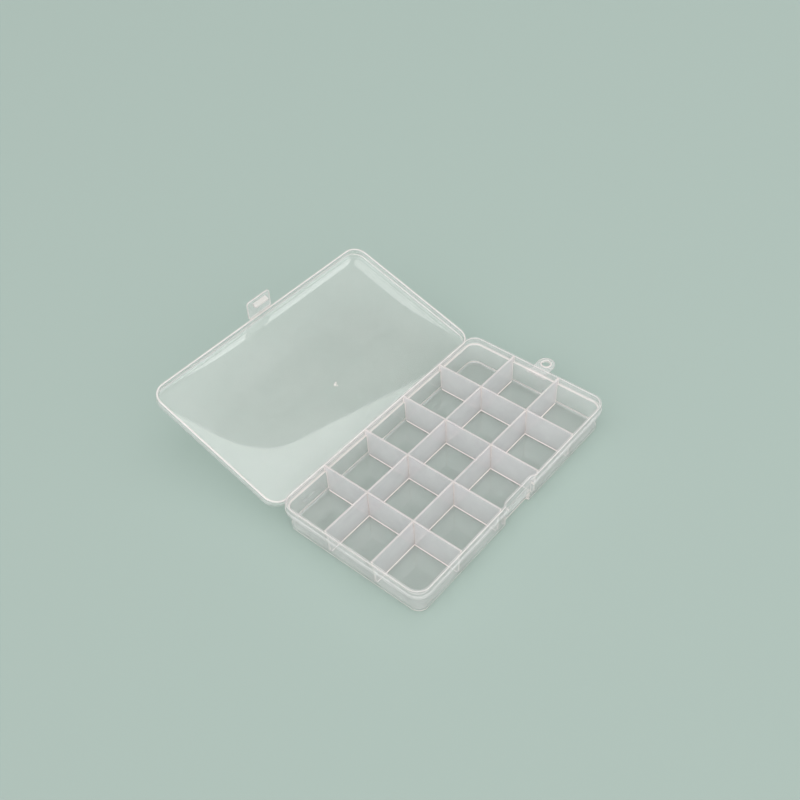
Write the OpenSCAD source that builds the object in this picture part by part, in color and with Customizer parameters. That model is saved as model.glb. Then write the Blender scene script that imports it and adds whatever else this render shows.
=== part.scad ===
// Hinged-lid organizer box with fifteen compartments.
// Millimetres. The tray stands on z = 0, +X points to the short wall with the
// hanging loop, and +Y to the long wall with the lid hinge.

/* [Tray] */

// Tray length over the rim
tray_length = 172.2; // [120:0.1:320]
// Tray width over the rim
tray_width = 97.4; // [70:0.1:200]
// Tray height to the top of the rim
tray_height = 20.2; // [16:0.1:60]
// Outer radius of the upright corners, at the rim
corner_radius = 8.0; // [5:0.1:20]
// Thickness of the raised rim that the lid goes over
rim_thickness = 1.2; // [0.8:0.05:2.5]
// Thickness of the wall below the rim
wall_thickness = 0.95; // [0.8:0.05:2.5]
// How far the lower wall stands in from the outer face of the rim, at its top
wall_set_in = 1.35; // [0.5:0.05:3]
// Further draft of the lower wall, from its top to the bottom
wall_draft = 0.2; // [0:0.05:1]
// Height from the rim down to the ledge inside
ledge_drop = 4.4; // [2:0.1:8]
// Floor thickness
floor_thickness = 1.0; // [0.8:0.05:3]
// Radius of the bottom edge, outside
bottom_edge_radius = 1.4; // [0.4:0.1:3]

/* [Seat bead] */

// Height from the rim down to the bead's upper face, where the lid seats
bead_drop = 4.0; // [2:0.1:8]
// Height of the bead
bead_height = 2.0; // [1:0.1:4]
// How far the bead stands out from the rim's face
bead_reach = 0.6; // [0.3:0.05:2]
// Edge break of the bead
bead_edge = 0.2; // [0.05:0.05:0.5]

/* [Dividers] */

// Divider thickness
divider_thickness = 1.2; // [0.8:0.05:3]
// Spacing of the dividers that run across the tray
cross_pitch = 34.28; // [20:0.02:70]
// Spacing of the dividers that run along the tray
long_pitch = 32.1; // [15:0.1:70]
// Play between a divider's end and the wall it meets
divider_end_play = 0.05; // [0:0.01:0.4]
// Play on each side of a divider in the slot of the one it crosses
slot_play = 0.05; // [0.02:0.01:0.3]
// Play between the bottoms of two crossing slots
slot_depth_play = 0.1; // [0.05:0.05:0.5]
// Radius of a divider's lower corners
divider_corner = 1.6; // [0.5:0.1:4]

/* [Lid] */

// Play between the rim and the lid's skirt
lid_play = 0.3; // [0.15:0.05:1]
// Thickness of the lid's skirt
skirt_thickness = 1.1; // [0.8:0.05:2.5]
// Height of the lid outside
lid_height = 5.6; // [4:0.1:20]
// Thickness of the lid's flat panel
panel_thickness = 1.2; // [0.8:0.05:3]
// Radius of the panel's edge, outside
panel_edge_radius = 0.9; // [0.3:0.1:2]
// How far the lid stands open as drawn
lid_open_angle = 162; // [0:1:180]

/* [Lid hinge] */

// Length of the hinge film
hinge_length = 145; // [60:1:280]
// Thickness of the hinge film
film_thickness = 0.35; // [0.2:0.05:0.8]
// How far the fold line lies inside the lid's outer face
fold_inset = 0.17; // [0.05:0.01:0.5]
// How far the fold line lies below the seat
fold_drop = 0.55; // [0.3:0.05:1.5]
// How far the film goes in under the skirt's edge
film_lap = 0.5; // [0.2:0.1:1]

/* [Latch] */

// Width of the latch tab
tab_width = 18.5; // [10:0.1:40]
// Width of the film that joins the tab to the lid
tab_film_width = 17.0; // [8:0.5:38]
// Length of the latch tab below the lid's edge
tab_length = 13.1; // [8:0.1:18]
// Thickness of the latch tab
tab_thickness = 1.2; // [0.8:0.05:2.5]
// Radius of the tab's two tip corners
tab_corner = 2.0; // [0.5:0.1:4]
// Lean of the tab away from the tray as drawn
tab_lean = 16; // [0:1:60]
// How far the tab's fold line lies inside the lid's outer face
tab_fold_inset = 0.15; // [0.05:0.05:0.6]
// How far the tab's fold line lies below the lid's edge
tab_fold_drop = 0.3; // [0.2:0.05:1]
// How far the tab's inner face lies inside its fold line
tab_face_inset = 0.4; // [0.1:0.05:1]
// Length of the hook along the tray
hook_width = 10.5; // [5:0.1:30]
// How far the hook stands in from the tab
hook_reach = 3.0; // [1:0.1:4]
// Distance from the lid's edge to the hook's catching face
hook_drop = 8.9; // [4:0.1:14]
// Thickness of the hook
hook_thickness = 2.2; // [1:0.1:4]
// Rise left between the hook and the edge that it catches under
catch_play = 0.15; // [0.05:0.05:0.5]

/* [Latch recess] */

// Flat width of the recess in the tray's wall
recess_width = 23; // [14:0.5:60]
// Length of the slope at each end of the recess
recess_slope = 2.6; // [1:0.1:8]
// How far the recess's upper band stands in from the rim's face
recess_depth = 1.6; // [0.8:0.1:4]
// How far the wall under the band stands in from the rim's face
undercut_depth = 3.7; // [2:0.1:7]
// Width of the undercut below the band
undercut_width = 22; // [12:0.5:58]
// Radius of the undercut's two outer corners
undercut_corner = 1.2; // [0.3:0.1:3]

/* [Hanging loop] */

// Radius of the hole
loop_hole_radius = 2.5; // [1.5:0.1:6]
// Outer radius of the loop's end
loop_end_radius = 5.4; // [3:0.1:12]
// Distance from the bead's face to the hole's centre
loop_reach = 9.7; // [6:0.1:20]
// Thickness of the loop's plate
loop_thickness = 1.2; // [0.8:0.1:2.5]
// Width of the raised band round the hole
loop_band = 0.9; // [0.4:0.1:2]
// Height of the raised band round the hole
loop_band_rise = 0.4; // [0.2:0.1:1]
// Radius between the loop and the tray's bead
loop_root_radius = 1.4; // [0.5:0.1:4]

/* [Hidden] */

$fn = 72;

// Levels above the table
seat_z = tray_height - bead_drop;
bead_bottom = seat_z - bead_height;
ledge_z = tray_height - ledge_drop;

// Faces of the wall, measured outward from the rim's outer face
ledge_in = -wall_set_in - wall_thickness;
foot_out = -wall_set_in - wall_draft;
foot_in = ledge_in - wall_draft;

half_length = tray_length / 2;
half_width = tray_width / 2;

// The lid, closed
lid_length = tray_length + 2 * (lid_play + skirt_thickness);
lid_width = tray_width + 2 * (lid_play + skirt_thickness);
lid_radius = corner_radius + lid_play + skirt_thickness;
lid_top = seat_z + lid_height;

// Fold lines of the lid and of its tab, with the lid closed
fold_y = lid_width / 2 - fold_inset;
fold_z = seat_z - fold_drop;
tab_y = -lid_width / 2 + tab_fold_inset;
tab_z = seat_z - tab_fold_drop;

// The edge that the hook catches under
catch_z = seat_z - hook_drop + catch_play;

// How far cuts run past the faces they open
clear_of_bead = bead_reach + 1;
eps = 0.01;

clear_plastic = [0.80, 0.90, 0.87, 0.45];
milky_plastic = [0.88, 0.90, 0.91, 0.75];
white_plastic = [0.93, 0.94, 0.94, 0.85];

// A rounded rectangle with its centre at the origin
module rounded(length, width, radius) {
    corner_x = length / 2 - radius;
    corner_y = width / 2 - radius;
    square([length, 2 * corner_y], center = true);
    square([2 * corner_x, width], center = true);
    for (x = [-corner_x, corner_x])
        for (y = [-corner_y, corner_y])
            translate([x, y])
                circle(radius);
}

// Carries a wall's section round a rounded rectangle.
// In the section x is outward from the rectangle's edge, and y is up.
module carried_round(length, width, radius) {
    straight_x = length - 2 * radius;
    straight_y = width - 2 * radius;
    for (side = [0, 180])
        rotate([0, 0, side])
            translate([length / 2, straight_y / 2, 0])
                rotate([90, 0, 0])
                    linear_extrude(straight_y)
                        children();
    for (side = [90, 270])
        rotate([0, 0, side])
            translate([width / 2, straight_x / 2, 0])
                rotate([90, 0, 0])
                    linear_extrude(straight_x)
                        children();
    for (c = [[1, 1, 0], [-1, 1, 90], [-1, -1, 180], [1, -1, 270]])
        translate([c[0] * straight_x / 2, c[1] * straight_y / 2, 0])
            rotate([0, 0, c[2]])
                rotate_extrude(angle = 90)
                    translate([radius, 0])
                        children();
}

// Moves what is drawn for the closed lid to the lid's open position
module opened() {
    translate([0, fold_y, fold_z])
        rotate([-lid_open_angle, 0, 0])
            translate([0, -fold_y, -fold_z])
                children();
}

// Leans what is drawn for the fastened tab away from the tray
module leaned() {
    translate([0, tab_y, tab_z])
        rotate([-tab_lean, 0, 0])
            translate([0, -tab_y, -tab_z])
                children();
}

// ---- tray ----

module wall_section() {
    difference() {
        polygon([
            [-rim_thickness, tray_height],
            [-rim_thickness, ledge_z],
            [ledge_in, ledge_z],
            [foot_in, floor_thickness],
            [foot_in, 0],
            [foot_out, 0],
            [-wall_set_in, bead_bottom],
            [bead_reach - bead_edge, bead_bottom],
            [bead_reach, bead_bottom + bead_edge],
            [bead_reach, seat_z - bead_edge],
            [bead_reach - bead_edge, seat_z],
            [0, seat_z],
            [0, tray_height]
        ]);
        // the rounded bottom edge
        translate([foot_out - bottom_edge_radius, bottom_edge_radius])
            difference() {
                translate([0, -bottom_edge_radius - 1])
                    square([bottom_edge_radius + 1, bottom_edge_radius + 1]);
                circle(bottom_edge_radius);
            }
    }
}

// Plan of the recess above the bead, with its sloped ends
module recess_plan() {
    face = -half_width;
    end = recess_width / 2;
    polygon([
        [-end - recess_slope, face],
        [-end, face + recess_depth],
        [end, face + recess_depth],
        [end + recess_slope, face],
        [end + recess_slope, face - clear_of_bead],
        [-end - recess_slope, face - clear_of_bead]
    ]);
}

// Plan of the recess from the bead down to the edge that the hook catches under
module band_plan() {
    translate([-recess_width / 2, -half_width - clear_of_bead])
        square([recess_width, clear_of_bead + recess_depth]);
}

// Plan of the undercut, a slot with rounded inner corners
module undercut_plan() {
    slot_with_round_corners(undercut_width, -half_width - clear_of_bead,
                            -half_width + undercut_depth, undercut_corner);
}

// Plan of the wall round the undercut, cut back afterwards by the undercut itself
module undercut_wall_plan() {
    slot_with_round_corners(undercut_width + 2 * wall_thickness, -half_width - foot_out,
                            -half_width + undercut_depth + wall_thickness,
                            undercut_corner + wall_thickness);
}

// A plan from front to back (in y), its two back corners rounded
module slot_with_round_corners(width, front, back, radius) {
    translate([-width / 2, front])
        square([width, back - radius - front]);
    translate([-width / 2 + radius, front])
        square([width - 2 * radius, back - front]);
    for (x = [-width / 2 + radius, width / 2 - radius])
        translate([x, back - radius])
            circle(radius);
}

module tray() {
    color(clear_plastic)
        difference() {
            union() {
                carried_round(tray_length, tray_width, corner_radius)
                    wall_section();
                linear_extrude(floor_thickness)
                    rounded(tray_length + 2 * foot_in + 2 * eps,
                            tray_width + 2 * foot_in + 2 * eps,
                            corner_radius + foot_in + eps);
                // the wall's way round the recess, from the band's foot up
                translate([0, 0, catch_z])
                    linear_extrude(tray_height - catch_z)
                        recess_wall_plan();
                // the wall of the undercut below the band
                linear_extrude(catch_z + wall_thickness)
                    undercut_wall_plan();
            }
            translate([0, 0, seat_z])
                linear_extrude(tray_height)
                    recess_plan();
            translate([0, 0, catch_z])
                linear_extrude(tray_height)
                    band_plan();
            translate([0, 0, -1])
                linear_extrude(catch_z + 1)
                    undercut_plan();
        }
}

// Solid plan behind the recess, from which the recess itself is cut
module recess_wall_plan() {
    face = -half_width;
    back = face + recess_depth + rim_thickness;
    end = recess_width / 2;
    polygon([
        [-end - recess_slope, face + rim_thickness],
        [-end - recess_slope, face + eps],
        [end + recess_slope, face + eps],
        [end + recess_slope, face + rim_thickness],
        [end, back],
        [-end, back]
    ]);
}

module hanging_loop() {
    wall = half_length - wall_set_in;
    hole = half_length + bead_reach + loop_reach - wall;
    root = bead_reach + wall_set_in + loop_root_radius;
    color(clear_plastic)
        translate([wall, 0, bead_bottom - loop_thickness])
            difference() {
                union() {
                    linear_extrude(loop_thickness)
                        difference() {
                            union() {
                                translate([hole, 0])
                                    circle(loop_end_radius);
                                translate([0, -loop_end_radius])
                                    square([hole, 2 * loop_end_radius]);
                                translate([0, -loop_end_radius - loop_root_radius])
                                    square([root, 2 * (loop_end_radius + loop_root_radius)]);
                            }
                            for (s = [-1, 1])
                                translate([root, s * (loop_end_radius + loop_root_radius)])
                                    circle(loop_root_radius);
                        }
                    translate([hole, 0, 0])
                        cylinder(r = loop_hole_radius + loop_band, h = loop_thickness + loop_band_rise);
                }
                translate([hole, 0, -1])
                    cylinder(r = loop_hole_radius, h = loop_thickness + loop_band_rise + 2);
            }
}

// ---- dividers ----

// Upright outline of a divider whose ends meet walls at the given half span of the rim's face
module divider_outline(half_span) {
    rim_end = half_span - rim_thickness - divider_end_play;
    ledge_end = half_span + ledge_in - divider_end_play;
    foot_end = half_span + foot_in - divider_end_play;
    low = floor_thickness;
    difference() {
        polygon([
            [-rim_end, tray_height],
            [-rim_end, ledge_z],
            [-ledge_end, ledge_z],
            [-foot_end, low],
            [foot_end, low],
            [ledge_end, ledge_z],
            [rim_end, ledge_z],
            [rim_end, tray_height]
        ]);
        for (s = [-1, 1])
            translate([s * (foot_end - divider_corner), low + divider_corner])
                difference() {
                    translate([s > 0 ? 0 : -divider_corner - 1, -divider_corner - 1])
                        square(divider_corner + 1);
                    circle(divider_corner);
                }
    }
}

slot_width = divider_thickness + 2 * slot_play;
slot_split = (floor_thickness + tray_height) / 2;

// A divider along the tray, slotted from the top for the ones across
module long_divider(y) {
    color(milky_plastic)
        difference() {
            translate([0, y + divider_thickness / 2, 0])
                rotate([90, 0, 0])
                    linear_extrude(divider_thickness)
                        divider_outline(half_length);
            for (i = [-1.5, -0.5, 0.5, 1.5])
                translate([i * cross_pitch - slot_width / 2, y - divider_thickness, slot_split - slot_depth_play / 2])
                    cube([slot_width, 2 * divider_thickness, tray_height]);
        }
}

// A divider across the tray, slotted from below for the ones along it
module cross_divider(x) {
    color(milky_plastic)
        difference() {
            translate([x - divider_thickness / 2, 0, 0])
                rotate([90, 0, 90])
                    linear_extrude(divider_thickness)
                        divider_outline(half_width);
            for (i = [-0.5, 0.5])
                translate([x - divider_thickness, i * long_pitch - slot_width / 2, -1])
                    cube([2 * divider_thickness, slot_width, slot_split + slot_depth_play / 2 + 1]);
        }
}

module long_divider_1() { long_divider(-long_pitch / 2); }
module long_divider_2() { long_divider(long_pitch / 2); }
module cross_divider_1() { cross_divider(-1.5 * cross_pitch); }
module cross_divider_2() { cross_divider(-0.5 * cross_pitch); }
module cross_divider_3() { cross_divider(0.5 * cross_pitch); }
module cross_divider_4() { cross_divider(1.5 * cross_pitch); }

// ---- lid ----

module skirt_section() {
    difference() {
        translate([-skirt_thickness, seat_z])
            square([skirt_thickness, lid_height]);
        translate([-panel_edge_radius, lid_top - panel_edge_radius])
            difference() {
                square(panel_edge_radius + 1);
                circle(panel_edge_radius);
            }
    }
}

module lid() {
    color(clear_plastic)
        opened() {
            carried_round(lid_length, lid_width, lid_radius)
                skirt_section();
            translate([0, 0, lid_top - panel_thickness])
                linear_extrude(panel_thickness)
                    rounded(lid_length - 2 * skirt_thickness + 2 * eps,
                            lid_width - 2 * skirt_thickness + 2 * eps,
                            lid_radius - skirt_thickness + eps);
        }
}

// A point of the closed lid, carried to the open position: [y, z]
function open_point(y, z) =
    let (dy = y - fold_y, dz = z - fold_z, a = -lid_open_angle)
    [fold_y + dy * cos(a) - dz * sin(a), fold_z + dy * sin(a) + dz * cos(a)];

// The film from the tray's bead to the edge of the open lid's skirt
module hinge_strip() {
    bead_face = half_width + bead_reach;
    corner = open_point(lid_width / 2, seat_z);
    inner = open_point(lid_width / 2 - film_lap, seat_z);
    top = open_point(lid_width / 2 - film_lap, seat_z - film_thickness);
    color(white_plastic)
        translate([-hinge_length / 2, 0, 0])
            rotate([90, 0, 90])
                linear_extrude(hinge_length)
                    polygon([
                        [bead_face, corner[1]],
                        corner,
                        inner,
                        top,
                        [bead_face, corner[1] + film_thickness]
                    ]);
}

// ---- latch ----

// A point of the fastened tab, leaned to its drawn position: [y, z]
function lean_point(out, down) =
    let (dy = -out, dz = -down, a = -tab_lean)
    [tab_y + dy * cos(a) - dz * sin(a), tab_z + dy * sin(a) + dz * cos(a)];

// The film from the lid's edge to the root of the tab
module tab_film() {
    edge = -lid_width / 2;
    color(white_plastic)
        opened()
            translate([-tab_film_width / 2, 0, 0])
                rotate([90, 0, 90])
                    linear_extrude(tab_film_width)
                        polygon([
                            [edge, seat_z],
                            [edge + film_thickness, seat_z],
                            lean_point(tab_fold_inset - film_thickness, tab_fold_drop),
                            lean_point(tab_fold_inset, tab_fold_drop)
                        ]);
}

// The plate of the tab, its root edge at the film
module latch_tab() {
    root = tab_fold_drop;
    tip = tab_length - tab_fold_drop;
    color(clear_plastic)
        opened()
            leaned()
                translate([0, tab_y + tab_face_inset, tab_z])
                    rotate([90, 0, 0])
                        linear_extrude(tab_thickness) {
                            translate([-tab_width / 2, -tip + tab_corner])
                                square([tab_width, tip - root - tab_corner]);
                            translate([-tab_width / 2 + tab_corner, -tip])
                                square([tab_width - 2 * tab_corner, tab_corner + eps]);
                            for (s = [-1, 1])
                                translate([s * (tab_width / 2 - tab_corner), -tip + tab_corner])
                                    circle(tab_corner);
                        }
}

// The hook on the tab's inner face
module latch_hook() {
    face = tab_y + tab_face_inset;
    high = seat_z - hook_drop;
    color(clear_plastic)
        opened()
            leaned()
                translate([-hook_width / 2, 0, 0])
                    rotate([90, 0, 90])
                        linear_extrude(hook_width)
                            polygon([
                                [face, high],
                                [face + hook_reach, high],
                                [face + hook_reach, high - hook_thickness / 2],
                                [face, high - hook_thickness]
                            ]);
}

tray();
hanging_loop();
long_divider_1();
long_divider_2();
cross_divider_1();
cross_divider_2();
cross_divider_3();
cross_divider_4();
hinge_strip();
lid();
tab_film();
latch_tab();
latch_hook();
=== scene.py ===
"""Studio scene of an open, clear plastic organizer box with crossed dividers and a film-hinged lid."""
import math
import bpy
import bmesh
from mathutils import Matrix, Vector


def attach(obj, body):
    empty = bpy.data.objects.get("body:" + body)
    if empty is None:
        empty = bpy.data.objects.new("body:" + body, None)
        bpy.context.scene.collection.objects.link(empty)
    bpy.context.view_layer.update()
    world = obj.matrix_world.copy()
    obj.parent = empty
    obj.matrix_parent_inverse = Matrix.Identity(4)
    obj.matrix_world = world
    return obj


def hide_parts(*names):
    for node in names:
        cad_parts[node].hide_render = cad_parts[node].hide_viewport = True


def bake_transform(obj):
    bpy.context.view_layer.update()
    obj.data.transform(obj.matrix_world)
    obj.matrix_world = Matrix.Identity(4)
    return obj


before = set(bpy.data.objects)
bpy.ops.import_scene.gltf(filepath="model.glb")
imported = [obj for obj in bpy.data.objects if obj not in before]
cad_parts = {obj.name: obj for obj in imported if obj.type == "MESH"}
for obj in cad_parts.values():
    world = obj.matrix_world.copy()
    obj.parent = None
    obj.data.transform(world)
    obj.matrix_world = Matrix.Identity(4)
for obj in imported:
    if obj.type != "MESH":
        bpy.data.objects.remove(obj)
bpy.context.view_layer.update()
scene = bpy.context.scene
MM = 0.001

# ---------------------------------------------------------------- sizes in millimetres, as in the solids
TRAY_L, TRAY_W, TRAY_H = 172.2, 97.4, 20.2
CORNER_R = 8.0
RIM_T = 1.2
WALL_T = 0.95
SET_IN = 1.35
DRAFT = 0.2
FLOOR_T = 1.0
BOTTOM_R = 1.4
LEDGE_Z = TRAY_H - 4.4
SEAT_Z = TRAY_H - 4.0
BEAD_Z = SEAT_Z - 2.0
BEAD_OUT = 0.6
LEDGE_IN = SET_IN + WALL_T
FOOT_OUT = SET_IN + DRAFT
FOOT_IN = LEDGE_IN + DRAFT

DIV_T = 1.2
DIV_CORNER_R = 1.6
END_PLAY = 0.05
SLOT_PLAY = 0.05
SLOT_DEPTH_PLAY = 0.1
CROSS_PITCH, LONG_PITCH = 34.28, 32.1
CROSS_PLACES = [k * CROSS_PITCH for k in (-1.5, -0.5, 0.5, 1.5)]
LONG_PLACES = [k * LONG_PITCH for k in (-0.5, 0.5)]

LID_PLAY, SKIRT_T, LID_H, PANEL_T = 0.3, 1.1, 5.6, 1.2
PANEL_R = 0.9
LID_L = TRAY_L + 2 * (LID_PLAY + SKIRT_T)
LID_W = TRAY_W + 2 * (LID_PLAY + SKIRT_T)
LID_R = CORNER_R + LID_PLAY + SKIRT_T
LID_TOP = SEAT_Z + LID_H
OPEN_DEG = 162.0
FOLD_Y, FOLD_Z = LID_W / 2 - 0.17, SEAT_Z - 0.55
HINGE_L = 145.0
FILM_T = 0.35
FILM_LAP = 0.5

TAB_W, TAB_L, TAB_T, TAB_R = 18.5, 13.1, 1.2, 2.0
TAB_FILM_W = 17.0
TAB_LEAN = 16.0
TAB_FOLD_IN, TAB_FOLD_DROP = 0.15, 0.3
TAB_Y, TAB_Z = -LID_W / 2 + TAB_FOLD_IN, SEAT_Z - TAB_FOLD_DROP
TAB_FACE = 0.4
HOOK_W, HOOK_REACH, HOOK_DROP, HOOK_T = 10.5, 3.0, 8.9, 2.2
REC_W, REC_SLOPE, REC_IN = 23.0, 2.6, 1.6
UND_W, UND_IN, UND_R = 22.0, 3.7, 1.2
CATCH_Z = SEAT_Z - HOOK_DROP + 0.15

LOOP_X = TRAY_L / 2 + BEAD_OUT + 9.7
LOOP_HOLE_R, LOOP_END_R, LOOP_T = 2.5, 5.4, 1.2
LOOP_BAND, LOOP_RISE, LOOP_ROOT_R = 0.9, 0.4, 1.4

# ---------------------------------------------------------------- sizes of the scene alone, in millimetres
RIM_R = 0.28
BEAD_R, BEAD_COVE, SEAT_COVE = 0.45, 0.25, 0.12
LEDGE_R, LEDGE_COVE = 0.3, 0.2
CATCH_BREAK = 0.15
FLOOR_R, UNDERCUT_R = 0.9, 0.6
SKIRT_R, PANEL_INNER_R = 0.3, 0.5
LOOP_BREAK, LOOP_RING_BREAK, LOOP_UNDER_BEAD = 0.15, 0.2, 0.02
DIV_BEVEL, TAB_BEVEL, HOOK_BEVEL = 0.18, 0.2, 0.25
TAB_TAPER_IN, TAB_TAPER_DOWN = 0.7, 0.9
HOOK_END = 0.4

FOOT_LINE = 1.6
# painted highlights: the bands below, save SKIRT_BAND and DIV_FLARE, take the bright edge materials as lit
# lines along feet, ledge, bead, lid edges, loop ring and divider borders and seams; SKIRT_BAND marks the
# skirt's own hazier plastic, DIV_FLARE the flare of the divider's foot
FOOT_BAND = (0.7, 1.6)
LEDGE_BAND = (-0.2, 0.3)
BEAD_BAND = (0.02, 0.5)
PANEL_EDGE_BAND = 0.75
SKIRT_FOOT_BAND = 0.32
SKIRT_BAND = 1.7
RING_BAND = 0.1
DIV_BORDER = 0.4
DIV_FLARE = 0.55
CROSS_STRIP = 0.4

# the panel's sink, the widths of its sloping border (+x, -x, -y, +y), how sharply its sides meet at the
# corners, and how far past the border the slope dies out, as a share of the border's width
SINK = 0.27
SINK_BORDER = (9.0, 40.0, 4.6, 30.0)
SINK_CORNER = 4
SINK_TAIL = 0.7
PANEL_RINGS = (0.012, 0.03, 0.05, 0.07, 0.09, 0.11, 0.135, 0.16, 0.19, 0.23, 0.28, 0.35, 0.45, 0.6, 0.8, 1.0)
PANEL_STEP = 6.0

# the gate's stubs as (x and y from the gate, radius, height), and a stub's shares of its radius and height
GATE_AT = (-1.8, 15.0)
GATE_STUBS = ((0.0, 0.0, 0.75, 0.10), (1.5, -0.7, 0.55, 0.09), (0.8, 1.3, 0.45, 0.08))
GATE_PROFILE = ((1.0, 0.4), (0.8, 0.8), (0.45, 1.0))
GATE_ROOT = 0.15

# where the hinge film's shallow roll lies, from the open skirt's corner
ROLL_UNDER = (-0.3, -0.02)
ROLL_OVER = ((-0.25, -0.05), (0.12, -0.02))

# shares of a face's unit normal along an axis, by which the painting rules tell which way it faces
LEVEL, SQUARE_ON, LEANING_TO, HALFWAY = 0.995, 0.9, 0.6, 0.5
FOOT_FACING = 0.35
ROUNDED = (0.15, 0.9)

# how near points merge, and how near a cutting plane a point counts as on it, in millimetres
MERGE = 1e-4
CUT_REACH = 1e-5


def turn_about(y, z, degrees):
    """The matrix that turns about the line along x through (y, z)."""
    there = Matrix.Translation((0, y * MM, z * MM))
    back = Matrix.Translation((0, -y * MM, -z * MM))
    return there @ Matrix.Rotation(math.radians(degrees), 4, "X") @ back


OPENING = turn_about(FOLD_Y, FOLD_Z, -OPEN_DEG)
LEANING = turn_about(TAB_Y, TAB_Z, -TAB_LEAN)


# ---------------------------------------------------------------- materials
class Nodes:
    """Short hand for wiring a node tree."""

    def __init__(self, tree):
        self.tree = tree

    def add(self, kind, **settings):
        node = self.tree.nodes.new("ShaderNode" + kind)
        for key, value in settings.items():
            setattr(node, key, value)
        return node

    def link(self, output, socket):
        self.tree.links.new(output, socket)

    def put(self, value, socket):
        """Joins an output to the socket, or sets the socket to a plain value."""
        if isinstance(value, bpy.types.NodeSocket):
            self.link(value, socket)
        else:
            socket.default_value = value

    def math(self, operation, first, second):
        node = self.add("Math", operation=operation)
        self.put(first, node.inputs[0])
        self.put(second, node.inputs[1])
        return node.outputs[0]

    def remap(self, value, low, high, to_low, to_high):
        """Carries value smoothly from the range low..high to to_low..to_high, held at the ends."""
        node = self.add("MapRange", interpolation_type="SMOOTHSTEP")
        for socket, setting in zip(node.inputs[:5], (value, low, high, to_low, to_high)):
            self.put(setting, socket)
        return node.outputs[0]

    def noise(self, vector, scale, detail=3.0, rough=0.5, stretch=None):
        if stretch:
            mapping = self.add("Mapping")
            self.link(vector, mapping.inputs["Vector"])
            mapping.inputs["Scale"].default_value = stretch
            vector = mapping.outputs[0]
        node = self.add("TexNoise")
        self.link(vector, node.inputs["Vector"])
        node.inputs["Scale"].default_value = scale
        node.inputs["Detail"].default_value = detail
        node.inputs["Roughness"].default_value = rough
        return node.outputs["Fac"]

    def shader(self, kind, colour):
        node = self.add(kind)
        node.inputs["Color"].default_value = (*colour, 1)
        return node

    def mix(self, share, first, second):
        """The first shader where the share is 0, the second where it is 1."""
        node = self.add("MixShader")
        self.put(share, node.inputs[0])
        self.link(first, node.inputs[1])
        self.link(second, node.inputs[2])
        return node.outputs[0]


def new_material(name):
    """A material with nothing but its output node, the short hand for its nodes, and its surface socket."""
    material = bpy.data.materials.new(name)
    material.use_nodes = True
    material.node_tree.nodes.clear()
    n = Nodes(material.node_tree)
    return material, n, n.add("OutputMaterial").inputs["Surface"]


TINT = (0.97, 0.985, 0.975)
SCHLICK_POWER = 5.0
EDGE_MIRROR = 0.96


def relief(n, coord, warp, grain):
    """The normals of a slow warp and a fine grain, each with its height in millimetres."""
    height = n.math("MULTIPLY", n.noise(coord, scale=22.0, detail=1.0, rough=0.4), warp)
    fine = n.math("MULTIPLY", n.noise(coord, scale=900.0, detail=2.0), grain)
    bump = n.add("Bump")
    bump.inputs["Strength"].default_value = 1.0
    bump.inputs["Distance"].default_value = MM
    n.link(n.math("ADD", height, fine), bump.inputs["Height"])
    return bump.outputs[0]


def clear_plastic(name, haze, haze_colour, haze_vary, gloss_rough=0.06, warp=0.0, grain=0.0, mirror=0.045,
                  through_back=0.45):
    """Clear moulded plastic: light passes, with a milky haze over what is behind and a Fresnel gloss on top.

    haze is how much of what is behind one surface hides, and haze_vary the share by which it varies.
    mirror is the gloss seen square on, through_back the share of the haze's light from behind.
    """
    material, n, surface = new_material(name)
    coord = n.add("TexCoord").outputs["Object"]

    cloud = n.noise(coord, scale=38.0, detail=4.0, rough=0.55)
    streak = n.noise(coord, scale=60.0, rough=0.6, stretch=(0.25, 1.0, 1.0))
    vary = n.math("ADD", n.math("MULTIPLY", cloud, 0.6), n.math("MULTIPLY", streak, 0.4))
    amount = n.remap(vary, 0.3, 0.7, haze * (1 - haze_vary), haze * (1 + haze_vary))
    normal = relief(n, coord, warp, grain) if warp or grain else None

    through = n.shader("BsdfTransparent", TINT)
    front = n.shader("BsdfDiffuse", haze_colour)
    back = n.shader("BsdfTranslucent", haze_colour)
    milk = n.mix(through_back, front.outputs[0], back.outputs[0])
    body = n.mix(amount, through.outputs[0], milk)

    # the same Schlick curve on both sides of a wall
    facing = n.add("LayerWeight")
    facing.inputs["Blend"].default_value = 0.5
    shine = n.add("BsdfGlossy")
    polish = n.remap(n.noise(coord, scale=140.0), 0.35, 0.7, gloss_rough * 0.7, gloss_rough * 1.4)
    n.link(polish, shine.inputs["Roughness"])
    if normal:
        for node in (front, back, facing, shine):
            n.link(normal, node.inputs["Normal"])
    grazing = n.math("POWER", facing.outputs["Facing"], SCHLICK_POWER)
    fresnel = n.math("ADD", n.math("MULTIPLY", grazing, EDGE_MIRROR - mirror), mirror)
    n.link(n.mix(fresnel, body, shine.outputs[0]), surface)
    return material


PALE = (0.94, 0.915, 0.925)
# the rose tint is for painted highlights: rims, feet and edges drawn whiter and pinker than the walls, in
# place of their glow and glints
ROSE_HIGHLIGHT = (0.99, 0.895, 0.885)
LILAC = (0.91, 0.885, 0.915)
CREAM = (0.935, 0.925, 0.915)
MAT_WALL = clear_plastic("tray_clear_wall", 0.24, PALE, haze_vary=0.15, through_back=0.2)
MAT_FLOOR = clear_plastic("tray_clear_floor", 0.19, PALE, haze_vary=0.12, gloss_rough=0.03, mirror=0.09,
                          warp=0.08)
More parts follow.
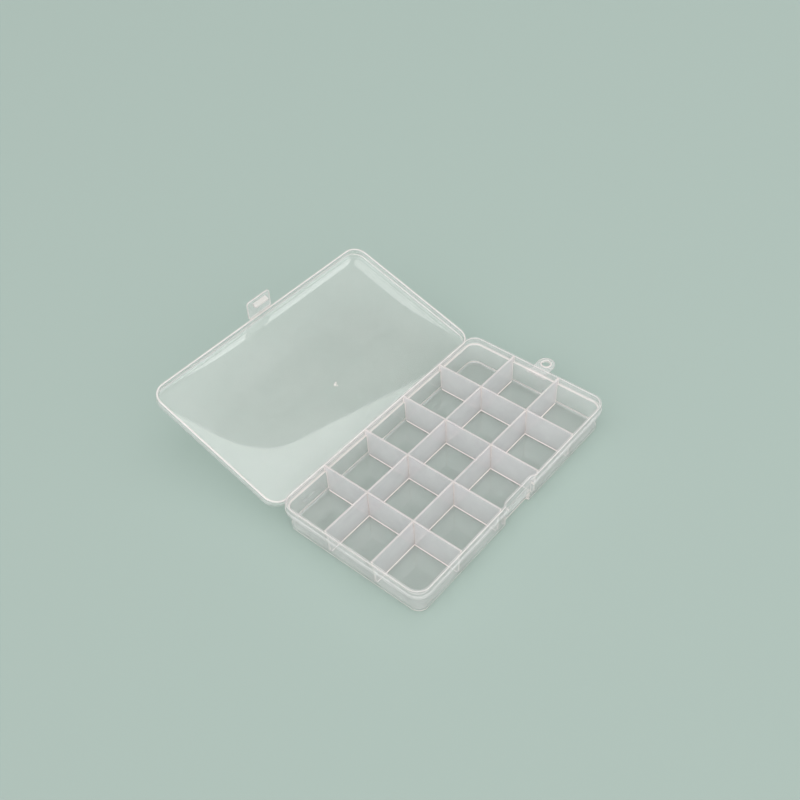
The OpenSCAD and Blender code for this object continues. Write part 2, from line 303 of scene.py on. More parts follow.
# the four materials below are painted highlights: hazier, whiter bands that make rims, bottom edges and
# divider edges read as lit lines
MAT_EDGE_HIGHLIGHT = clear_plastic("edge_painted_highlight", 0.56, ROSE_HIGHLIGHT, haze_vary=0.08, gloss_rough=0.12,
                         through_back=0.3)
MAT_FOOT_HIGHLIGHT = clear_plastic("bottom_edge_painted_highlight", 0.82, ROSE_HIGHLIGHT, haze_vary=0.06, gloss_rough=0.12,
                         through_back=0.06)
MAT_MILKY = clear_plastic("milky_divider_face", 0.37, LILAC, haze_vary=0.10, gloss_rough=0.16,
                          warp=0.05, grain=0.006, through_back=0.35)
MAT_MILKY_DIVIDER_EDGE_HIGHLIGHT = clear_plastic("milky_divider_painted_edge_highlight", 0.40, ROSE_HIGHLIGHT, haze_vary=0.06, gloss_rough=0.14,
                               through_back=0.25)
MAT_DIVIDER_FOOT_HIGHLIGHT = clear_plastic("divider_foot_painted_highlight", 0.80, ROSE_HIGHLIGHT, haze_vary=0.06, gloss_rough=0.14,
                               through_back=0.15)
MAT_LID = clear_plastic("lid_clear_panel", 0.16, CREAM, haze_vary=0.12, gloss_rough=0.03, mirror=0.08)
MAT_SKIRT = clear_plastic("lid_clear_skirt", 0.26, PALE, haze_vary=0.12, through_back=0.3)
MAT_FILM = clear_plastic("whitened_film", 0.50, (0.97, 0.91, 0.905), haze_vary=0.2, gloss_rough=0.2)
MAT_RIDGE = clear_plastic("latch_ridge_white", 0.42, (0.97, 0.90, 0.895), haze_vary=0.1, gloss_rough=0.15)


# ---------------------------------------------------------------- mesh helpers
def make_object(name, bm, materials, bevel=0.0, smooth_deg=32.0):
    """Turns a bmesh in millimetres into an object in metres, with soft edges."""
    bmesh.ops.remove_doubles(bm, verts=bm.verts, dist=MERGE)
    bmesh.ops.recalc_face_normals(bm, faces=bm.faces)
    bmesh.ops.scale(bm, vec=(MM, MM, MM), verts=bm.verts)
    mesh = bpy.data.meshes.new(name)
    bm.to_mesh(mesh)
    bm.free()
    for material in materials:
        mesh.materials.append(material)
    obj = bpy.data.objects.new(name, mesh)
    scene.collection.objects.link(obj)
    mesh.polygons.foreach_set("use_smooth", [True] * len(mesh.polygons))
    sharp_deg = 75 if bevel else smooth_deg
    mesh.set_sharp_from_angle(angle=math.radians(sharp_deg))
    if bevel:
        rounding = obj.modifiers.new("edge_round", "BEVEL")
        rounding.width = bevel * MM
        rounding.segments = 2
        rounding.limit_method = "ANGLE"
        rounding.angle_limit = math.radians(30)
        rounding.harden_normals = False
    weighted = obj.modifiers.new("flat_faces_stay_flat", "WEIGHTED_NORMAL")
    weighted.keep_sharp = True
    weighted.weight = 80
    return obj


def arc(cx, cy, r, start, end, steps):
    """Points on an arc, in degrees, both ends included."""
    angles = [math.radians(start + (end - start) * i / steps) for i in range(steps + 1)]
    return [(cx + r * math.cos(a), cy + r * math.sin(a)) for a in angles]


def circle(bm, cx, cy, r, z, count):
    """A level ring of vertices."""
    angles = [math.tau * i / count for i in range(count)]
    return [bm.verts.new((cx + r * math.cos(a), cy + r * math.sin(a), z)) for a in angles]


def round_rect_stations(length, width, radius, steps):
    """(x, y, nx, ny) round the rectangle, anticlockwise from the front wall's left end."""
    hx, hy = length / 2 - radius, width / 2 - radius
    out = [(-hx, -width / 2, 0, -1)]
    for cx, cy, start in ((hx, -hy, -90), (hx, hy, 0), (-hx, hy, 90), (-hx, -hy, 180)):
        for i in range(steps + 1):
            a = math.radians(start + 90 * i / steps)
            out.append((cx + radius * math.cos(a), cy + radius * math.sin(a), math.cos(a), math.sin(a)))
    return out[:-1]


def dense_stations(stations, pitch):
    """Adds stations along the straight sides, so that no step is longer than the pitch."""
    out = []
    for i, a in enumerate(stations):
        b = stations[(i + 1) % len(stations)]
        parts = max(1, math.ceil(math.hypot(b[0] - a[0], b[1] - a[1]) / pitch))
        out += [tuple(p + (q - p) * k / parts for p, q in zip(a, b)) for k in range(parts)]
    return out


def bridge(bm, a, b, closed=True, turned=False):
    """Joins two rows of vertices with quads; turned makes the quads face the other way."""
    for i in range(len(a) if closed else len(a) - 1):
        k = (i + 1) % len(a)
        quad = (a[i], a[k], b[k], b[i]) if turned else (a[i], b[i], b[k], a[k])
        bm.faces.new(quad)


def bar(section, stations):
    """A bmesh of the closed section (y, z), drawn along x through the stations, with both ends capped."""
    bm = bmesh.new()
    rows = [[bm.verts.new((x, y, z)) for y, z in section] for x in stations]
    for a, b in zip(rows, rows[1:]):
        bridge(bm, a, b)
    bm.faces.new(rows[0])
    bm.faces.new(rows[-1][::-1])
    return bm


def even_stations(length, steps):
    """Stations along a length that is centred on zero."""
    return [-length / 2 + length * i / steps for i in range(steps + 1)]


def prism(outline, thickness):
    """A bmesh of the outline (x, y) from z = 0 to the thickness."""
    bm = bmesh.new()
    face = bm.faces.new([bm.verts.new((x, y, 0)) for x, y in outline])
    top = bmesh.ops.extrude_face_region(bm, geom=[face])["geom"]
    top_verts = [v for v in top if isinstance(v, bmesh.types.BMVert)]
    bmesh.ops.translate(bm, vec=(0, 0, thickness), verts=top_verts)
    return bm


def paint_faces(bm, rule):
    """Gives each face the material index that rule(face centre, face normal) says."""
    bm.normal_update()
    for f in bm.faces:
        f.material_index = rule(f.calc_center_median(), f.normal)


def cut(bm, point, normal):
    """Cuts every face of the bmesh that crosses the plane."""
    everything = bm.verts[:] + bm.edges[:] + bm.faces[:]
    bmesh.ops.bisect_plane(bm, geom=everything, dist=CUT_REACH, plane_co=point, plane_no=normal)


def border_faces(bm, faces, width, index):
    """Cuts a narrow border inside each of the faces and gives it the material index."""
    for f in faces:
        ring = bmesh.ops.inset_region(bm, faces=[f], thickness=width, use_even_offset=True)["faces"]
        for strip in ring:
            strip.material_index = index


def turned_point(pivot, degrees, dy, dz):
    """The point (y, z) that lies dy and dz from the pivot, once turned about it."""
    a = math.radians(degrees)
    y = pivot[0] + dy * math.cos(a) - dz * math.sin(a)
    z = pivot[1] + dy * math.sin(a) + dz * math.cos(a)
    return y, z


# ---------------------------------------------------------------- tray
def tray_profiles():
    """Two sections with the same points: the plain wall, and the wall at the latch recess.

    Each point is (offset outward, height, zone): zone T lies above the seat, B on the bead and band, U in the
    undercut, I on the inner face above the floor and L on the inner face by the undercut.
    """
    plain, recess = [], []

    def both(zone, p, q):
        plain.append((p[0], p[1], zone))
        recess.append((q[0], q[1], zone))

    def outer(share):
        """The outer face below the bead, after a share of its draft."""
        return -SET_IN - DRAFT * share

    def inner(share):
        """The inner face below the ledge, after a share of its draft."""
        return -LEDGE_IN - DRAFT * share

    # outer face, from the bottom up to the bead
    foot = arc(-FOOT_OUT - BOTTOM_R, BOTTOM_R, BOTTOM_R, -90, -4, 6)
    recess_foot = arc(-UND_IN - UNDERCUT_R, UNDERCUT_R, UNDERCUT_R, -90, 0, 6)
    for p, q in zip(foot, recess_foot):
        both("U", p, q)
    both("U", (-FOOT_OUT, FOOT_LINE), (-UND_IN, FOOT_LINE))
    both("U", (outer(0.5), CATCH_Z), (-UND_IN, CATCH_Z - CATCH_BREAK))
    both("U", (outer(0.45), CATCH_Z + 0.1), (-UND_IN + CATCH_BREAK, CATCH_Z))
    both("B", (outer(0.4), CATCH_Z + 0.3), (-REC_IN - CATCH_BREAK, CATCH_Z))
    both("B", (outer(0.3), CATCH_Z + 1.0), (-REC_IN, CATCH_Z + CATCH_BREAK))

    # bead and seat, which the recess leaves out
    bead = [(-SET_IN, BEAD_Z - BEAD_COVE), (-SET_IN + BEAD_COVE, BEAD_Z), (BEAD_OUT - 0.3, BEAD_Z)]
    bead += arc(BEAD_OUT - BEAD_R, BEAD_Z + BEAD_R, BEAD_R, -50, 0, 3)
    bead += arc(BEAD_OUT - BEAD_R, SEAT_Z - BEAD_R, BEAD_R, 0, 90, 4)
    seat = [(SEAT_COVE, SEAT_Z), (0, SEAT_Z + SEAT_COVE)]
    for zone, points in (("B", bead), ("T", seat)):
        for p in points:
            both(zone, p, (-REC_IN, max(p[1], CATCH_Z + 0.5)))

    # rim
    rim = arc(-RIM_R, TRAY_H - RIM_R, RIM_R, 0, 90, 4)
    rim += arc(-RIM_T + RIM_R, TRAY_H - RIM_R, RIM_R, 90, 180, 4)
    for p in rim:
        both("T", p, (p[0] - REC_IN, p[1]))

    # inner face, from the rim down to the floor
    step = CATCH_Z + WALL_T
    rim_in = -RIM_T - REC_IN
    both("I", (-RIM_T, LEDGE_Z + LEDGE_COVE), (rim_in, LEDGE_Z + LEDGE_COVE))
    both("I", (-RIM_T - LEDGE_COVE, LEDGE_Z), (rim_in, LEDGE_Z))
    for p in arc(-LEDGE_IN + LEDGE_R, LEDGE_Z - LEDGE_R, LEDGE_R, 90, 180, 3):
        both("I", p, (rim_in, p[1] - 0.1))
    both("I", (inner(0.5), step + 0.6), (rim_in, step + 0.2))
    both("I", (inner(0.55), step + 0.3), (rim_in - 0.2, step))
    undercut_in = -UND_IN - WALL_T
    both("L", (inner(0.6), step), (undercut_in + 0.3, step))
    both("L", (inner(0.62), step - 0.3), (undercut_in, step - 0.3))
    fillet = arc(-FOOT_IN - FLOOR_R, FLOOR_T + FLOOR_R, FLOOR_R, 0, -90, 5)
    recess_fillet = arc(undercut_in - UNDERCUT_R, FLOOR_T + UNDERCUT_R, UNDERCUT_R, 0, -90, 5)
    for p, q in zip(fillet, recess_fillet):
        both("L", p, q)
    return plain, recess


def recess_steps():
    """Each zone's place along the wall and share of the recess, step by step from the recess's middle."""
    half, under, inside = REC_W / 2, UND_W / 2, UND_W / 2 + WALL_T
    sloping = [(0, 1), (half - 0.5, 1), (half, 0.97), (half + 0.5, 0.82), (half + REC_SLOPE * 0.6, 0.38),
               (half + REC_SLOPE, 0.06), (half + REC_SLOPE + 0.4, 0)]
    band = [(0, 1), (half - 0.3, 1), (half, 0.97), (half, 0.75), (half, 0.35),
            (half + 0.05, 0.1), (half + 0.4, 0)]
    undercut = [(0, 1), (under - UND_R, 1), (under - 0.35, 0.90), (under, 0.6), (under, 0.3),
                (under + 0.1, 0.05), (under + 0.5, 0)]
    lower = [(0, 1), (inside - 2.15, 1), (inside - 0.6, 0.80), (inside - 0.15, 0.5), (inside, 0.25),
             (inside, 0), (inside + 0.6, 0)]
    return [{"T": t, "I": t, "B": b, "U": u, "L": low}
            for t, b, u, low in zip(sloping, band, undercut, lower)]


def tray_shell():
    """The tray, swept round its outline, with the recess worked into the front wall."""
    plain, recess = tray_profiles()
    bm = bmesh.new()
    loops = []

    def plain_loop(x, y, nx, ny):
        loops.append([bm.verts.new((x + nx * out, y + ny * out, z)) for out, z, zone in plain])

    def recess_loop(side, step):
        loop = []
        for (out, z, zone), (recess_out, recess_z, _) in zip(plain, recess):
            along, share = step[zone]
            offset = out + (recess_out - out) * share
            height = z + (recess_z - z) * share
            loop.append(bm.verts.new((side * along, -TRAY_W / 2 - offset, height)))
        loops.append(loop)

    stations = round_rect_stations(TRAY_L, TRAY_W, CORNER_R, 12)
    steps = recess_steps()
    plain_loop(*stations[0])
    for step in reversed(steps):
        recess_loop(-1, step)
    for step in steps[1:]:
        recess_loop(1, step)
    for station in stations[1:]:
        plain_loop(*station)
    for a, b in zip(loops, loops[1:] + loops[:1]):
        bridge(bm, a, b, closed=False)
    bm.faces.new([loop[0] for loop in reversed(loops)])
    bm.faces.new([loop[-1] for loop in loops])

    wall, floor, edge, foot = range(4)
    recess_back = -TRAY_W / 2 + UND_IN + WALL_T

    # painted highlights: the rim's rounding, ledge, bead, recess sides and bottom edge take the bright edge
    # materials, lit lines drawn into the colour
    def rule(c, normal):
        if c.z > TRAY_H - RIM_R:
            return wall if normal.z > LEVEL else edge
        if FOOT_BAND[0] < c.z < FOOT_BAND[1] and normal.z < FOOT_FACING:
            return foot
        if abs(normal.x) > LEANING_TO and abs(c.x) < REC_W and c.y < recess_back:
            return edge
        if abs(normal.z) > SQUARE_ON and c.z < FLOOR_T + 0.1:
            return floor
        if abs(normal.z) > LEANING_TO and LEDGE_Z + LEDGE_BAND[0] < c.z < LEDGE_Z + LEDGE_BAND[1]:
            return edge
        return edge if BEAD_BAND[0] < c.z - BEAD_Z < BEAD_BAND[1] else wall
    paint_faces(bm, rule)
    return make_object("tray_shell", bm, [MAT_WALL, MAT_FLOOR, MAT_EDGE_HIGHLIGHT, MAT_FOOT_HIGHLIGHT])


# ---------------------------------------------------------------- hanging loop
def hanging_loop():
    """The flat loop on the short wall, with a raised band round its hole."""
    wall = TRAY_L / 2 - SET_IN
    root = TRAY_L / 2 + BEAD_OUT + LOOP_ROOT_R
    r, side = LOOP_ROOT_R, -LOOP_END_R - LOOP_ROOT_R
    near = [(wall, side), (root - r, side)]
    for degrees in (160, 135, 112, 90):
        a = math.radians(degrees)
        near.append((root + r * math.cos(a), side + r * math.sin(a)))
    far = [(x, -y) for x, y in reversed(near)]
    outline = near + arc(LOOP_X, 0, LOOP_END_R, -90, 90, 18) + far

    bm = bmesh.new()
    low, high = BEAD_Z - LOOP_T, BEAD_Z - LOOP_UNDER_BEAD
    under = [bm.verts.new((x, y, low)) for x, y in outline]
    over = [bm.verts.new((x, y, high)) for x, y in outline]
    bridge(bm, under, over, turned=True)

    hole, band, top = LOOP_HOLE_R, LOOP_HOLE_R + LOOP_BAND, high + LOOP_RISE
    levels = ((hole, low + LOOP_BREAK), (hole + LOOP_BREAK, low), (band + LOOP_BREAK, high),
              (band, high + LOOP_BREAK), (band - LOOP_RING_BREAK, top), (hole + LOOP_RING_BREAK, top),
              (hole, top - LOOP_RING_BREAK))
    rings = [circle(bm, LOOP_X, 0, radius, z, 36) for radius, z in levels]
    path = rings[2:] + rings[:2]
    for a, b in zip(path, path[1:]):
        bridge(bm, a, b, turned=True)
    for outer, inner in ((over, path[0]), (under, path[-1])):
        edges = []
        for row in (outer, inner):
            for ends in zip(row, row[1:] + row[:1]):
                edges.append(bm.edges.get(ends) or bm.edges.new(ends))
        bmesh.ops.triangle_fill(bm, use_beauty=True, use_dissolve=False, edges=edges)

    # painted highlight: the band round the hole and the loop's sides take the bright edge material
    def rule(c, normal):
        ringed = math.hypot(c.x - LOOP_X, c.y) < band + RING_BAND
        return 1 if ringed or abs(normal.z) < HALFWAY else 0
    paint_faces(bm, rule)
    return make_object("hanging_loop_plate", bm, [MAT_WALL, MAT_EDGE_HIGHLIGHT], smooth_deg=50)


# ---------------------------------------------------------------- dividers
def divider_outline(half_span, slots, from_top):
    """Outline of a divider in its own plane. Half-lap slots that open at the foot widen there."""
    rim = half_span - RIM_T - END_PLAY
    ledge = half_span - LEDGE_IN - END_PLAY
    foot = half_span - FOOT_IN - END_PLAY
    slot_half = DIV_T / 2 + SLOT_PLAY
    low, high = FLOOR_T, TRAY_H
    split = (FLOOR_T + TRAY_H) / 2
    right = arc(foot - DIV_CORNER_R, low + DIV_CORNER_R, DIV_CORNER_R, -90, 0, 5)
    right += [(ledge, LEDGE_Z), (rim, LEDGE_Z), (rim, high)]
    left = [(-x, z) for x, z in reversed(right)]
    top, bottom = [], []
    for slot in slots:
        a, b = slot - slot_half, slot + slot_half
        if from_top:
            deep = split - SLOT_DEPTH_PLAY / 2
            top = [(b, high), (b, deep), (a, deep), (a, high)] + top
        else:
            deep = split + SLOT_DEPTH_PLAY / 2
            bottom += [(a - DIV_FLARE, low), (a, low + DIV_FLARE), (a, deep)]
            bottom += [(b, deep), (b, low + DIV_FLARE), (b + DIV_FLARE, low)]
    return right + top + left + bottom


def divider(name, offset, along_x):
    """A divider along x or across it, at its offset on the other axis, with a flared foot and painted
    highlights along its foot, ends, top, borders and slot seams.
    """
    slots = CROSS_PLACES if along_x else LONG_PLACES
    half_span = TRAY_L / 2 if along_x else TRAY_W / 2
    bm = prism(divider_outline(half_span, slots, along_x), DIV_T)
    flare_top = FLOOR_T + DIV_FLARE
    cut(bm, (0, flare_top, 0), (0, 1, 0))
    for v in bm.verts:
        spread = max(0.0, flare_top - v.co.y)
        v.co.z += spread if v.co.z > DIV_T / 2 else -spread

    # painted highlights: the divider's borders and top take the hazier edge material, its foot and ends the
    # brightest one
    face, edge, foot = range(3)

    def rule(c, normal):
        if abs(normal.z) > SQUARE_ON:
            return face
        return foot if c.y < flare_top and abs(normal.z) > HALFWAY else edge
    paint_faces(bm, rule)
    border_faces(bm, [f for f in bm.faces if f.material_index == face], DIV_BORDER, edge)

    # painted highlights: the ends against the walls and the strips at the slots are drawn as bright seam
    # lines
    end = half_span - LEDGE_IN - DRAFT - DIV_BORDER
    strip = DIV_T / 2 + CROSS_STRIP
    for slot in slots:
        cut(bm, (slot - strip, 0, 0), (1, 0, 0))
        cut(bm, (slot + strip, 0, 0), (1, 0, 0))
    bm.normal_update()
    for f in bm.faces:
        c = f.calc_center_median()
        past_end = abs(c.x) > end
        if abs(f.normal.z) < HALFWAY and past_end:
            f.material_index = foot
        if f.material_index == foot or abs(f.normal.z) < SQUARE_ON:
            continue
        if f.material_index == edge and past_end and c.y < TRAY_H - DIV_BORDER:
            f.material_index = foot
        elif min(abs(c.x - slot) for slot in slots) < strip:
            f.material_index = edge
        else:
            f.material_index = face

    if along_x:
        turn = Matrix(((1, 0, 0, 0), (0, 0, -1, offset + DIV_T / 2), (0, 1, 0, 0), (0, 0, 0, 1)))
    else:
        turn = Matrix(((0, 0, 1, offset - DIV_T / 2), (1, 0, 0, 0), (0, 1, 0, 0), (0, 0, 0, 1)))
    bmesh.ops.transform(bm, matrix=turn, verts=bm.verts)
    return make_object(name, bm, [MAT_MILKY, MAT_MILKY_DIVIDER_EDGE_HIGHLIGHT, MAT_DIVIDER_FOOT_HIGHLIGHT], bevel=DIV_BEVEL)


# ---------------------------------------------------------------- lid
def lid_sink(x, y):
    """How far the panel sinks: 0 at the skirt, SINK at its border's inner edge, a third more within."""
    half_x, half_y = LID_L / 2 - SKIRT_T, LID_W / 2 - SKIRT_T
    gaps = (half_x - x, half_x + x, half_y + y, half_y - y)
    reach = [gap / width for gap, width in zip(gaps, SINK_BORDER)]
    near = max(0.0, -math.log(sum(math.exp(-SINK_CORNER * r) for r in reach)) / SINK_CORNER)
    if near < 1:
        return SINK * near
    t = min(1.0, (near - 1) / SINK_TAIL)
    return SINK * (1 + SINK_TAIL * (t - t * t / 2))


def lid_shell():
    """The closed lid, swept round its outline, then carried to its open position."""
    outer = [(-SKIRT_R, SEAT_Z)] + arc(-SKIRT_R, SEAT_Z + SKIRT_R, SKIRT_R, -60, 0, 2)
    outer += [(0, LID_TOP - PANEL_R)] + arc(-PANEL_R, LID_TOP - PANEL_R, PANEL_R, 15, 90, 5)
    inner = [(-SKIRT_T + SKIRT_R, SEAT_Z)]
    inner += arc(-SKIRT_T + SKIRT_R, SEAT_Z + SKIRT_R, SKIRT_R, -120, -180, 2)
    inner += arc(-SKIRT_T - PANEL_INNER_R, LID_TOP - PANEL_T - PANEL_INNER_R, PANEL_INNER_R, 0, 90, 4)
    stations = dense_stations(round_rect_stations(LID_L, LID_W, LID_R, 14), PANEL_STEP)
    spine = LID_L / 2 - LID_W / 2
    bm = bmesh.new()

    def loops_of(section, top):
        """Loops through the section's points, then in across the panel to its spine."""
        loops = []
        for out, z in section:
            loops.append([bm.verts.new((x + nx * out, y + ny * out, z)) for x, y, nx, ny in stations])
        last = [v.co.copy() for v in loops[-1]]
        for share in PANEL_RINGS:
            ring = []
            for c in last:
                hub = Vector((max(-spine, min(spine, c.x)), 0, c.z))
                p = c.lerp(hub, share)
                p.z = top - lid_sink(p.x, p.y)
                ring.append(bm.verts.new(p))
            loops.append(ring)
        return loops

    outside, inside = loops_of(outer, LID_TOP), loops_of(inner, LID_TOP - PANEL_T)
    for low, high in zip(outside, outside[1:]):
        bridge(bm, low, high, turned=True)
    for low, high in zip(inside, inside[1:]):
        bridge(bm, high, low, turned=True)
    bridge(bm, outside[0], inside[0])
    bmesh.ops.remove_doubles(bm, verts=bm.verts, dist=MERGE)

    panel, skirt, edge = range(3)

    # painted highlights: the skirt's foot and the panel's rounded top edge take the bright edge material
    def rule(c, normal):
        if c.z < SEAT_Z + SKIRT_FOOT_BAND:
            return edge
        if c.z > LID_TOP - PANEL_EDGE_BAND and ROUNDED[0] < normal.z < ROUNDED[1]:
            return edge
        return skirt if max(abs(c.x) - LID_L / 2, abs(c.y) - LID_W / 2) > -SKIRT_BAND else panel
    paint_faces(bm, rule)
    obj = make_object("lid_shell", bm, [MAT_LID, MAT_SKIRT, MAT_EDGE_HIGHLIGHT])
    obj.data.transform(OPENING)
    return obj


def hinge_film():
    """The film between the bead and the open lid's skirt, with a shallow roll along the fold."""
    def opened(y, z):
        return turned_point((FOLD_Y, FOLD_Z), -OPEN_DEG, y - FOLD_Y, z - FOLD_Z)
    bead_face = TRAY_W / 2 + BEAD_OUT
    corner_y, corner_z = opened(LID_W / 2, SEAT_Z)
    lower = [(bead_face, corner_z), (corner_y + ROLL_UNDER[0], corner_z + ROLL_UNDER[1]),
             (corner_y, corner_z), opened(LID_W / 2 - FILM_LAP, SEAT_Z)]
    upper = [(bead_face, corner_z + FILM_T)]
    upper += [(corner_y + y, corner_z + FILM_T + z) for y, z in ROLL_OVER]
    upper.append(opened(LID_W / 2 - FILM_LAP, SEAT_Z - FILM_T))
    bm = bar(lower + upper[::-1], even_stations(HINGE_L, 60))
    return make_object("hinge_film", bm, [MAT_FILM], smooth_deg=60)


# ---------------------------------------------------------------- latch
def tab_film():
    """The short film between the lid's skirt and the leaning tab."""
    def leaned(out, down):
        return turned_point((TAB_Y, TAB_Z), -TAB_LEAN, -out, -down)
    skirt_face = -LID_W / 2
    section = [(skirt_face, SEAT_Z), (skirt_face + FILM_T, SEAT_Z),
               leaned(TAB_FOLD_IN - FILM_T, TAB_FOLD_DROP), leaned(TAB_FOLD_IN, TAB_FOLD_DROP)]
    obj = make_object("tab_fold_film", bar(section, even_stations(TAB_FILM_W, 16)), [MAT_FILM])
    obj.data.transform(OPENING)
    return obj


def tab_plate():
    """The latch tab, from just below its fold to its rounded tip."""
    root, tip = -TAB_FOLD_DROP, -(TAB_L - TAB_FOLD_DROP)
    half = TAB_W / 2
    outline = [(-half + TAB_TAPER_IN, root), (-half, root - TAB_TAPER_DOWN)]
    outline += arc(-half + TAB_R, tip + TAB_R, TAB_R, 180, 270, 6)
    outline += arc(half - TAB_R, tip + TAB_R, TAB_R, 270, 360, 6)
    outline += [(half, root - TAB_TAPER_DOWN), (half - TAB_TAPER_IN, root)]
    bm = prism(outline, TAB_T)
    # painted highlight: the tab's sides take the bright edge material
    paint_faces(bm, lambda c, normal: 0 if abs(normal.z) > SQUARE_ON else 1)
    turn = Matrix(((1, 0, 0, 0), (0, 0, -1, TAB_Y + TAB_FACE), (0, 1, 0, TAB_Z), (0, 0, 0, 1)))
    bmesh.ops.transform(bm, matrix=turn, verts=bm.verts)
    obj = make_object("latch_tab_plate", bm, [MAT_WALL, MAT_EDGE_HIGHLIGHT], bevel=TAB_BEVEL)
    obj.data.transform(OPENING @ LEANING)
    return obj


def hook_ridge():
    """The ridge on the tab's inner face, flat above and sloping below."""
    face = TAB_Y + TAB_FACE
    high = SEAT_Z - HOOK_DROP
    section = [(face, high), (face + HOOK_REACH, high), (face + HOOK_REACH, high - HOOK_T / 2),
               (face, high - HOOK_T)]
    half = HOOK_W / 2
    bm = bar(section, (-half, -half + HOOK_END, half - HOOK_END, half))
    obj = make_object("latch_hook_ridge", bm, [MAT_RIDGE], bevel=HOOK_BEVEL)
    obj.data.transform(OPENING @ LEANING)
    return obj


def gate_mark():
    """The three small stubs of the mould's gate, on the lid's inner face, sunk a little into it."""
    bm = bmesh.new()
    for dx, dy, r, tall in GATE_STUBS:
        x, y = GATE_AT[0] + dx, GATE_AT[1] + dy
        root = LID_TOP - PANEL_T - lid_sink(x, y)
        levels = [(1.0, root + GATE_ROOT)] + [(share, root - tall * down) for share, down in GATE_PROFILE]
        rings = [circle(bm, x, y, r * share, z, 16) for share, z in levels]
        for a, b in zip(rings, rings[1:]):
            bridge(bm, a, b, turned=True)
        bm.faces.new(rings[0])
        bm.faces.new(rings[-1])
    # painted glint: the stubs take the bright edge material
    obj = make_object("lid_gate_mark", bm, [MAT_EDGE_HIGHLIGHT], smooth_deg=50)
    obj.data.transform(OPENING)
    return obj


# ---------------------------------------------------------------- assembly
def place(obj, body, node):
    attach(obj, body)
    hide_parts(node)


place(tray_shell(), "tray_body", "tray")
place(hanging_loop(), "tray_body", "hanging_loop")
for i, y in enumerate(LONG_PLACES, 1):
    place(divider(f"divider_along_{i}", y, True), "tray_body", f"long_divider_{i}")
for i, x in enumerate(CROSS_PLACES, 1):
    place(divider(f"divider_across_{i}", x, False), "tray_body", f"cross_divider_{i}")
place(lid_shell(), "lid_body", "lid")
mark = gate_mark()
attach(mark, "lid_body")
place(tab_plate(), "latch_body", "latch_tab")
place(hook_ridge(), "latch_body", "latch_hook")

# the hinge film and the tab's film, in place of the solids' strips
film = hinge_film()
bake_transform(film)
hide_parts("hinge_strip")
tab_strip = tab_film()
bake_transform(tab_strip)
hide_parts("tab_film")

# ---------------------------------------------------------------- floor, in metres
FLOOR_HALF = 12.0
FLOOR_DROP = 0.0002
GROUND = (0.33, 0.41, 0.375)
corners = [(x * FLOOR_HALF, y * FLOOR_HALF, 0) for x, y in ((-1, -1), (1, -1), (1, 1), (-1, 1))]
floor_mesh = bpy.data.meshes.new("studio_floor")
floor_mesh.from_pydata(corners, [], [(0, 1, 2, 3)])
floor = bpy.data.objects.new("studio_floor", floor_mesh)
scene.collection.objects.link(floor)
floor.location.z = -FLOOR_DROP
ground, ground_nodes, ground_surface = new_material("pale_ground")
ground_nodes.link(ground_nodes.shader("BsdfDiffuse", GROUND).outputs[0], ground_surface)
floor_mesh.materials.append(ground)

# ---------------------------------------------------------------- light, in metres
SKY_COLOUR = (1.0, 0.99, 0.985)
SKY_TOWARD = (-0.58, -0.53, 0.62)
SKY_SPREAD = (-0.2, 0.95)
SKY_DARK, SKY_BRIGHT = 0.16, 2.05
HORIZON_SPREAD = (0.03, 0.33)
HORIZON_BRIGHT = 0.62
# an area light's power for each square metre and each unit of brightness
AREA_POWER = 4

world = bpy.data.worlds.new("studio_world")
scene.world = world
world.use_nodes = True
sky = Nodes(world.node_tree)
backdrop = world.node_tree.nodes["Background"]
backdrop.inputs["Color"].default_value = (*SKY_COLOUR, 1)
where = sky.add("TexCoord").outputs["Generated"]
toward = sky.add("VectorMath", operation="DOT_PRODUCT")
sky.link(where, toward.inputs[0])
toward.inputs[1].default_value = SKY_TOWARD
lobe = sky.remap(toward.outputs["Value"], *SKY_SPREAD, SKY_DARK, SKY_BRIGHT)
# a pale band round the horizon, so that the backdrop is about as light as the floor where they meet
split_up = sky.add("SeparateXYZ")
sky.link(where, split_up.inputs[0])
rise = sky.remap(split_up.outputs["Z"], *HORIZON_SPREAD, 0.0, 1.0)
banded = sky.add("Mix")
sky.link(rise, banded.inputs[0])
banded.inputs[2].default_value = HORIZON_BRIGHT
sky.link(lobe, banded.inputs[3])
sky.link(banded.outputs[0], backdrop.inputs["Strength"])


def ceiling_box(name, centre, turn, size, radiance):
    """A flat softbox overhead, turned about the vertical, with its brightness given instead of its power."""
    light = bpy.data.lights.new(name, "AREA")
    light.shape = "RECTANGLE"
    light.size, light.size_y = size
    light.energy = radiance * AREA_POWER * size[0] * size[1]
    obj = bpy.data.objects.new(name, light)
    scene.collection.objects.link(obj)
    obj.location = centre
    obj.rotation_euler = (0, 0, math.radians(turn))


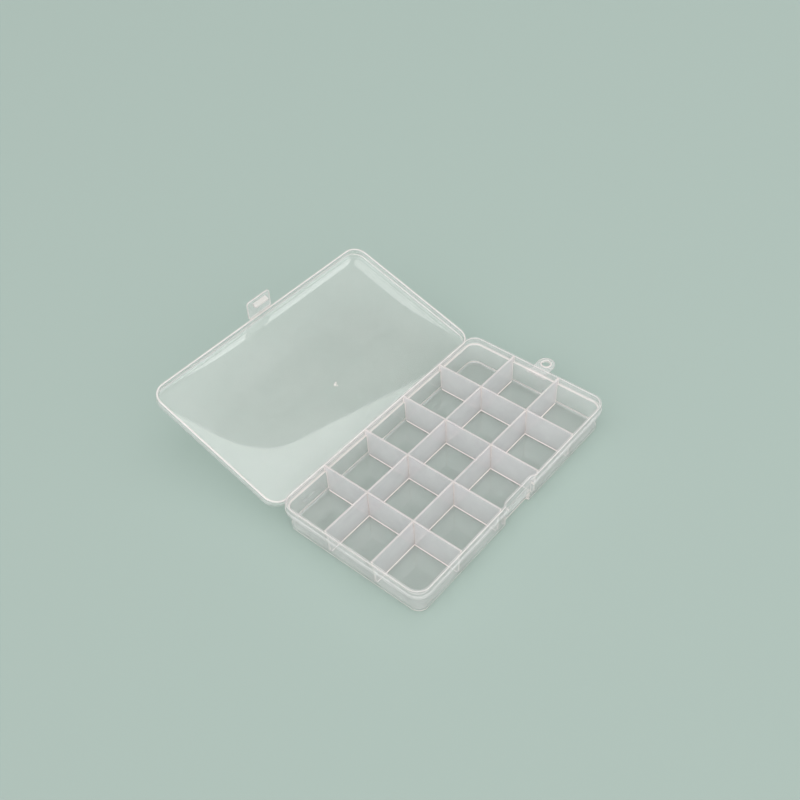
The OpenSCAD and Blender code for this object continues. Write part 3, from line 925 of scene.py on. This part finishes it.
def ceiling_panel(name, outline, height, radiance):
    """A glowing panel overhead, for an outline that no rectangle gives."""
    mesh = bpy.data.meshes.new(name)
    mesh.from_pydata([(x, y, height) for x, y in outline], [], [tuple(range(len(outline)))])
    material, n, surface = new_material(name + "_glow")
    emitter = n.add("Emission")
    emitter.inputs["Strength"].default_value = radiance
    n.link(emitter.outputs[0], surface)
    mesh.materials.append(material)
    obj = bpy.data.objects.new(name, mesh)
    scene.collection.objects.link(obj)


def rounded_corner(before, corner, after, steps=12):
    """A quadratic curve from one point to the next, pulled towards the corner."""
    curve = []
    for i in range(steps + 1):
        t = i / steps
        near, pull, far = (1 - t) ** 2, 2 * t * (1 - t), t * t
        curve.append(tuple(near * p + pull * q + far * r for p, q, r in zip(before, corner, after)))
    return curve


# one bent panel: its inner corner gives the rounded edge of the light that the lid mirrors
PANEL_CORNER = rounded_corner((0.705, 0.051), (0.563, 0.082), (0.512, 0.190))
BENT_PANEL = [(0.342, 0.583), (-0.27, 0.301), (0.072, -0.423), (0.30, -0.46), (0.368, -0.489),
              (1.208, -0.671), (1.334, -0.085)] + PANEL_CORNER
ceiling_panel("bent_panel", BENT_PANEL, height=1.475, radiance=2.15)
ceiling_box("softbox_right", centre=(1.54, 0.17, 1.50), turn=-79.5, size=(0.50, 0.60), radiance=1.0)
ceiling_box("softbox_back", centre=(0.78, 0.51, 1.50), turn=0.0, size=(0.76, 0.15), radiance=1.6)

# ---------------------------------------------------------------- camera, at the photograph's place
RIGHT = Vector((0.6391, -0.7681, -0.0397))
UP = Vector((0.5591, 0.4285, 0.7099))
AHEAD = Vector((0.5283, 0.4759, -0.7032))
CAMERA_AT = Vector((-297.65, -233.22, 434.08))
FOCAL_PIXELS, PHOTO_PIXELS = 1004.13, 800
SENSOR = 36.0
cam_data = bpy.data.cameras.new("photo_camera")
cam = bpy.data.objects.new("photo_camera", cam_data)
scene.collection.objects.link(cam)
cam_data.sensor_width = SENSOR
cam_data.sensor_fit = "AUTO"
cam_data.lens = FOCAL_PIXELS / PHOTO_PIXELS * SENSOR
cam_data.clip_start = 0.01
matrix = Matrix.Identity(4)
for row in range(3):
    matrix[row][:3] = RIGHT[row], UP[row], -AHEAD[row]
matrix.translation = CAMERA_AT * MM
cam.matrix_world = matrix
scene.camera = cam

scene.view_settings.view_transform = "Standard"
scene.cycles.transparent_max_bounces = 40
scene.cycles.max_bounces = 16
